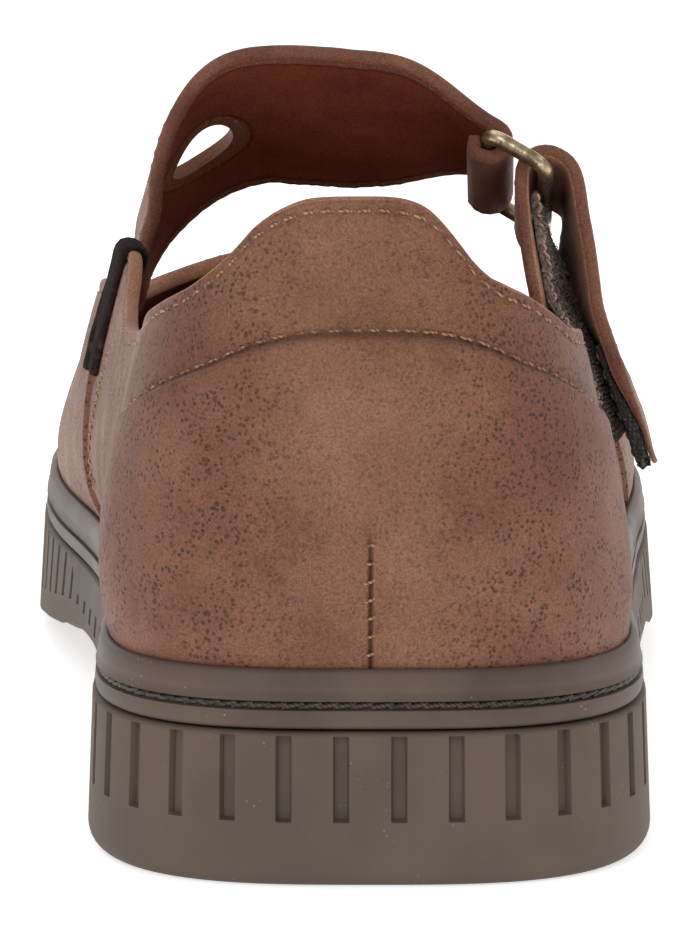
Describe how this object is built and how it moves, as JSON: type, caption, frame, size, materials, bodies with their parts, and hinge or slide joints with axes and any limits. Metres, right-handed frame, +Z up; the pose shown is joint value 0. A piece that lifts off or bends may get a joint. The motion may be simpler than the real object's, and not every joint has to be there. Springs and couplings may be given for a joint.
{
  "type": "mary jane shoe, right foot",
  "caption": "Right-foot leather mary jane with a ribbed rubber cup sole, forked instep strap, ring and hook-and-loop strap, and a raised heel collar.",
  "frame": {"origin": "on the floor under the middle of the heel, at the flat of the heel's tread", "axes": "+Z up, +Y towards the toe, +X towards the outer (lateral) side of the right foot"},
  "size_m": [0.0956, 0.2704, 0.0933],
  "materials": {
    "outsole_rubber": "matte moulded",
    "welt_rubber": "satin moulded",
    "brown_leather": "matte nubuck with open pores",
    "strap_leather": "matte nubuck, painted edges",
    "lining": "brushed",
    "antique_brass": "aged, satin",
    "black_elastic": "ribbed elastic",
    "loop_pile": "looped pile",
    "hook_tape": "woven tape with hooks"
  },
  "bodies": {
    "root": {"outsole": "outsole_rubber", "welt": "welt_rubber", "insole": "lining", "upper": "brown_leather", "instep_strap": "strap_leather", "elastic_gore": "black_elastic", "fastening_strap": "strap_leather", "strap_ring": "antique_brass", "loop_pad": "loop_pile", "hook_pad": "hook_tape"}
  },
  "joints": []
}
